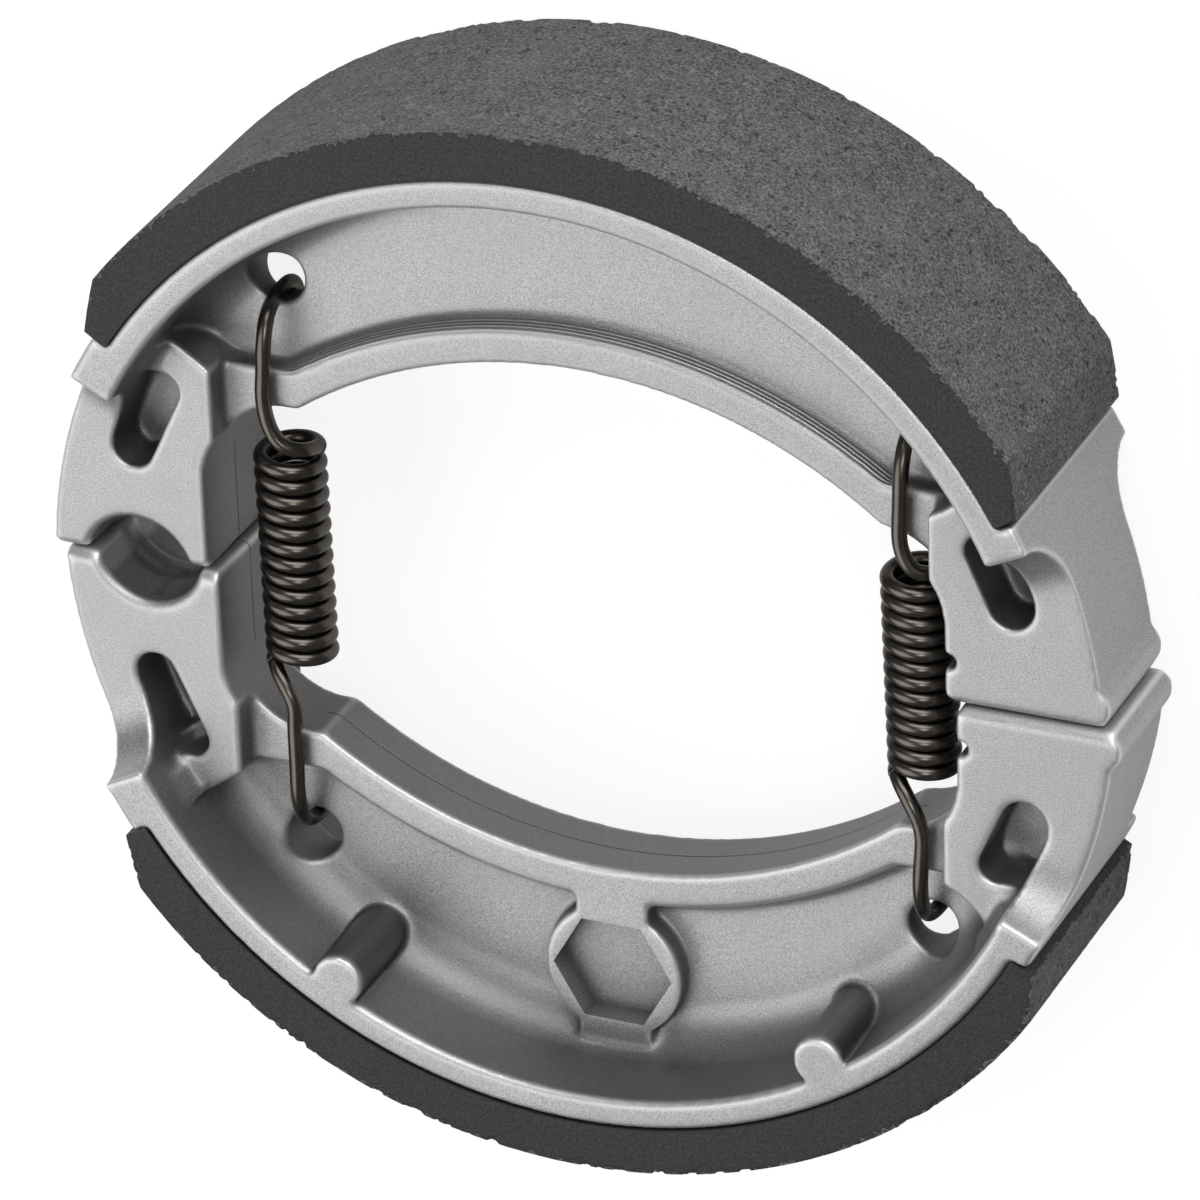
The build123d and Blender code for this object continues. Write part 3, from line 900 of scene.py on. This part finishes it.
# %% Friction lining
def friction_material():
    n = Nodes("friction_lining")
    share = n.stored("height_share")
    fine = n.noise(3600, 3, 0.7)
    coarse = n.noise(800, 3, 0.6, 2.0)
    speck = n.noise(1900, 1, 0.5, 5.0)
    pit = n.noise(1300, 1, 0.5, 8.0)
    blotch = n.noise(260, 2, 0.5, 11.0)
    ragged = n.math("ADD", share, n.span(pit, 0.3, 0.7, -0.12, 0.12))
    ground = n.math("MAXIMUM", n.span(share, 0.985, 1.0), n.span(ragged, 0.97, 0.99))
    face = n.mix(n.span(fine, 0.36, 0.64), grey(0.010), grey(0.235))
    face = n.mix(n.span(coarse, 0.35, 0.65, 0, 0.5), face, grey(0.06))
    face = n.mix(n.span(blotch, 0.4, 0.7, 0, 0.18), face, grey(0.22))
    face = n.mix(n.span(speck, 0.71, 0.77, 0, 0.6), face, grey(0.30))
    face = n.mix(n.span(pit, 0.28, 0.34, 0.8, 0), face, grey(0.015))
    side = n.mix(n.span(fine, 0.34, 0.66), grey(0.003), grey(0.036))
    tone = n.mix(ground, side, face)
    tone = n.mix(n.span(share, 0.0, 0.05, 0.9, 0), tone, grey(0.005))
    n.to("Base Color", tone)
    n.to("Roughness", n.span(ground, 0, 1, 0.6, 0.9))
    relief = n.math("ADD", n.math("MULTIPLY", fine, 0.26), n.math("MULTIPLY", coarse, 0.30))
    relief = n.math("ADD", relief, n.span(pit, 0.27, 0.33, -0.08, 0))
    n.bump(n.math("MULTIPLY", relief, n.span(ground, 0, 1, 0.12, 1)))
    return n.material


friction = friction_material()
print("lining finish:", len(friction.node_tree.nodes), "nodes")

# %% [markdown]
# Spring wire is drawn steel, blued by the heat that sets the coil and dipped in oil. It is nearly
# black, with a brownish shine where the light runs along the wire.

# %% Spring steel
def spring_steel():
    n = Nodes("oiled_spring_steel")
    cloud = n.noise(260, 2, 0.5)
    fine = n.noise(5200, 2, 0.5, 1.0)
    tone = n.mix(n.span(cloud, 0.3, 0.7), (0.112, 0.10, 0.088, 1), (0.135, 0.12, 0.106, 1))
    tone = n.mix(n.span(fine, 0.3, 0.7, 0, 0.15), tone, (0.075, 0.067, 0.059, 1))
    n.to("Base Color", tone)
    n.to("Metallic", 1.0)
    n.to("Roughness", n.span(cloud, 0.3, 0.7, 0.25, 0.3))
    n.bump(fine, strength=0.1, distance=0.004 * MM)
    return n.material


steel = spring_steel()
print("spring finish:", len(steel.node_tree.nodes), "nodes")

# %% [markdown]
# Every piece gets its finish. The two castings share one material, and so do the linings and the
# springs, because they come from the same melt, the same press and the same coil of wire.

# %% Give each piece its finish
finishes = {
    aluminium: (upper_casting, lower_casting),
    friction: (upper_lining, lower_lining),
    steel: (anchor_spring, cam_spring),
}
for material, things in finishes.items():
    for thing in things:
        thing.data.materials.clear()
        thing.data.materials.append(material)
    print(material.name, "on", [thing.name for thing in things])

# %% [markdown]
# The pair lies on a pale table that runs out of sight. To the eye most of it is a plain white glow,
# and the metal mirrors a little of that white too. The rest is the table's own shading, in which
# the pieces' soft shadow shows.

# %% Table
glow_strength = 1.2
glow_seen = 0.72
glow_mirrored = 0.16


def plain_table(reach=3.0):
    """One large square, with a share of white glow that depends on the kind of ray."""
    corners = [(-reach, -reach, 0), (reach, -reach, 0), (reach, reach, 0), (-reach, reach, 0)]
    mesh = bpy.data.meshes.new("table")
    mesh.from_pydata(corners, [], [(0, 1, 2, 3)])
    table = link("table", mesh)
    n = Nodes("pale_table")
    n.to("Base Color", grey(0.8))
    n.to("Roughness", 1.0)
    n.to("Specular IOR Level", 0.0)
    glow = n.add("Emission", {"Color": grey(1.0), "Strength": glow_strength})
    path = n.add("LightPath")
    seen = n.math("MULTIPLY", path.outputs["Is Camera Ray"], glow_seen)
    mirrored = n.math("ADD", path.outputs["Is Glossy Ray"], path.outputs["Is Transmission Ray"])
    seen = n.math("ADD", seen, n.math("MULTIPLY", mirrored, glow_mirrored))
    mixed = n.add("MixShader", {0: seen, 1: n.shader.outputs[0], 2: glow.outputs[0]})
    n.feed(n.tree.nodes["Material Output"].inputs["Surface"], mixed.outputs[0])
    mesh.materials.append(n.material)


plain_table()

# %% [markdown]
# Satin metal looks like what it reflects, so the lamps are placed by mirror. The web and the front
# faces look up, and from the camera they mirror a place behind the ring on the far side: the
# largest softbox hangs there. A second one, above the upper lining, grazes its ground face and
# brings out the grain. A small third one by the camera keeps the walls from going black.

# %% Softboxes
sky_strength = 0.17


def softbox(name, direction, distance, size, radiance):
    """A square lamp that looks at the object's middle; power follows from size and radiance."""
    lamp = bpy.data.lights.new(name, "AREA")
    lamp.shape = "SQUARE"
    lamp.size = size
    lamp.energy = radiance * math.pi * size ** 2
    thing = bpy.data.objects.new(name, lamp)
    way = Vector(direction).normalized()
    thing.location = way * distance
    thing.rotation_euler = way.to_track_quat("Z", "Y").to_euler()
    bpy.context.scene.collection.objects.link(thing)
    print(name, round(lamp.energy, 2), "W")


softbox("far_softbox", (-0.50, -0.26, 0.82), distance=0.8, size=0.8, radiance=1.75)
softbox("top_softbox", (0.25, 1.0, 0.45), distance=0.7, size=0.62, radiance=3.0)
softbox("near_softbox", (0.45, 0.25, 0.85), distance=0.9, size=0.25, radiance=6.0)
world = bpy.data.worlds.new("studio")
bpy.context.scene.world = world
world.use_nodes = True
sky = world.node_tree.nodes["Background"]
sky.inputs["Color"].default_value = grey(1.0)
sky.inputs["Strength"].default_value = sky_strength

# %% [markdown]
# The camera looks at the ring from the cam end and from above, rolled so that the upper shoe is at
# the top. Distance and focal length were found from the ring's concentric circles: the nearer they
# crowd on one side, the closer the camera stood.

# %% Camera
camera_azimuth = 52.451
camera_elevation = 53.516
camera_roll = -138.227
camera_distance = 811.36
aim = np.array([-0.176, 0.376, half_width])
focal_in_pixels = 8893.9
image_pixels = 1200


def photo_camera():
    """Right, up and back axes from azimuth and elevation, rolled about the line of sight."""
    az, el, roll = (math.radians(v) for v in (camera_azimuth, camera_elevation, camera_roll))
    back = Vector((math.cos(el) * math.cos(az), math.cos(el) * math.sin(az), math.sin(el)))
    right = Vector((-math.sin(az), math.cos(az), 0))
    up = back.cross(right)
    rolled_right = right * math.cos(roll) + up * math.sin(roll)
    rolled_up = back.cross(rolled_right)
    matrix = Matrix((rolled_right, rolled_up, back)).transposed().to_4x4()
    matrix.translation = Vector(aim * MM) + back * camera_distance * MM
    data = bpy.data.cameras.new("photo_camera")
    data.sensor_width = 36.0
    data.lens = data.sensor_width * focal_in_pixels / image_pixels
    data.clip_start = 0.05
    camera = bpy.data.objects.new("photo_camera", data)
    camera.matrix_world = matrix
    bpy.context.scene.collection.objects.link(camera)
    bpy.context.scene.camera = camera
    return camera


camera = photo_camera()
bpy.context.scene.view_settings.view_transform = "Standard"
print("camera at, in mm:", [round(v / MM) for v in camera.matrix_world.translation])
